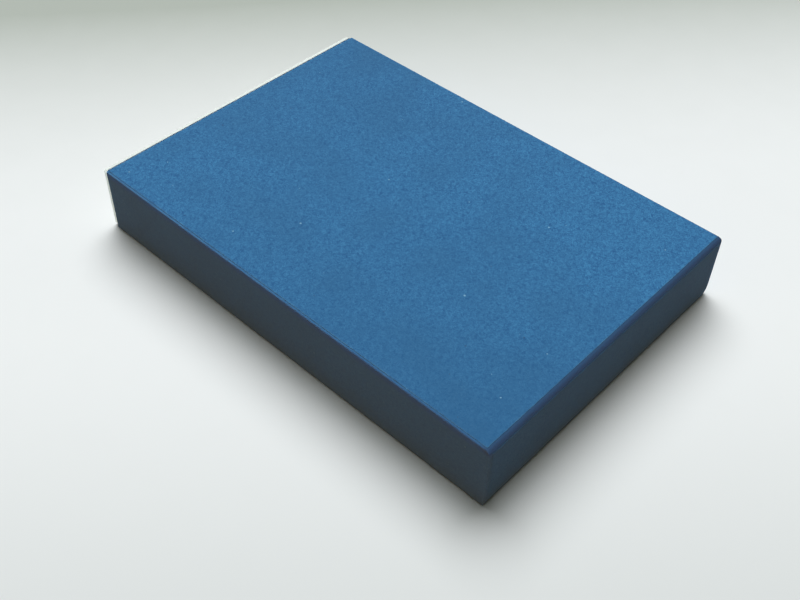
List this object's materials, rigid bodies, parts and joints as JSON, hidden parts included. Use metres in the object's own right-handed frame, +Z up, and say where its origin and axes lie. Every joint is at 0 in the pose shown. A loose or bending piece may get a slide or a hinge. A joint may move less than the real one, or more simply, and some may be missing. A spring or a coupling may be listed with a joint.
{
  "type": "sliding drawer gift box",
  "caption": "Flat paper-covered gift box: a board sleeve open at one short end, and a tray with a closing face and a ribbon pull that slides out of it.",
  "frame": {"origin": "middle of the sleeve's underside, on the table", "axes": "+Z up, +Y from the mouth towards the sleeve's closed end, so the drawer's face and ribbon are at -Y"},
  "size_m": [0.14, 0.2133, 0.03],
  "materials": {
    "blue_paper": "matt covering paper with a fine fibrous grain",
    "white_paper": "matt off-white covering paper",
    "lining_paper": "plain uncoated lining paper",
    "floor_card": "off-white card",
    "greyboard": "raw grey millboard",
    "kraft_tape": "gummed kraft tape",
    "ribbon": "ribbed grosgrain ribbon"
  },
  "bodies": {
    "sleeve": {"sleeve_base_board": "greyboard", "sleeve_top_board": "greyboard", "sleeve_left_board": "greyboard", "sleeve_right_board": "greyboard", "sleeve_back_board": "greyboard", "sleeve_edge_tapes": "kraft_tape", "sleeve_end_tapes": "kraft_tape", "sleeve_wrap": "blue_paper", "sleeve_top_sheet": "blue_paper", "sleeve_base_sheet": "blue_paper", "sleeve_end_sheet": "blue_paper", "sleeve_lining": "lining_paper"},
    "drawer": {"tray_base_board": "greyboard", "tray_front_board": "greyboard", "tray_back_board": "greyboard", "tray_left_board": "greyboard", "tray_right_board": "greyboard", "tray_corner_tapes": "kraft_tape", "tray_wrap": "white_paper", "tray_floor_card": "floor_card", "face_board": "greyboard", "face_wrap": "white_paper", "pull_ribbon": "ribbon"}
  },
  "joints": [
    {"name": "drawer_slide", "type": "slide", "parent": "sleeve", "child": "drawer", "axis": [0, -1, 0], "range_m": [0, 0.2]}
  ]
}
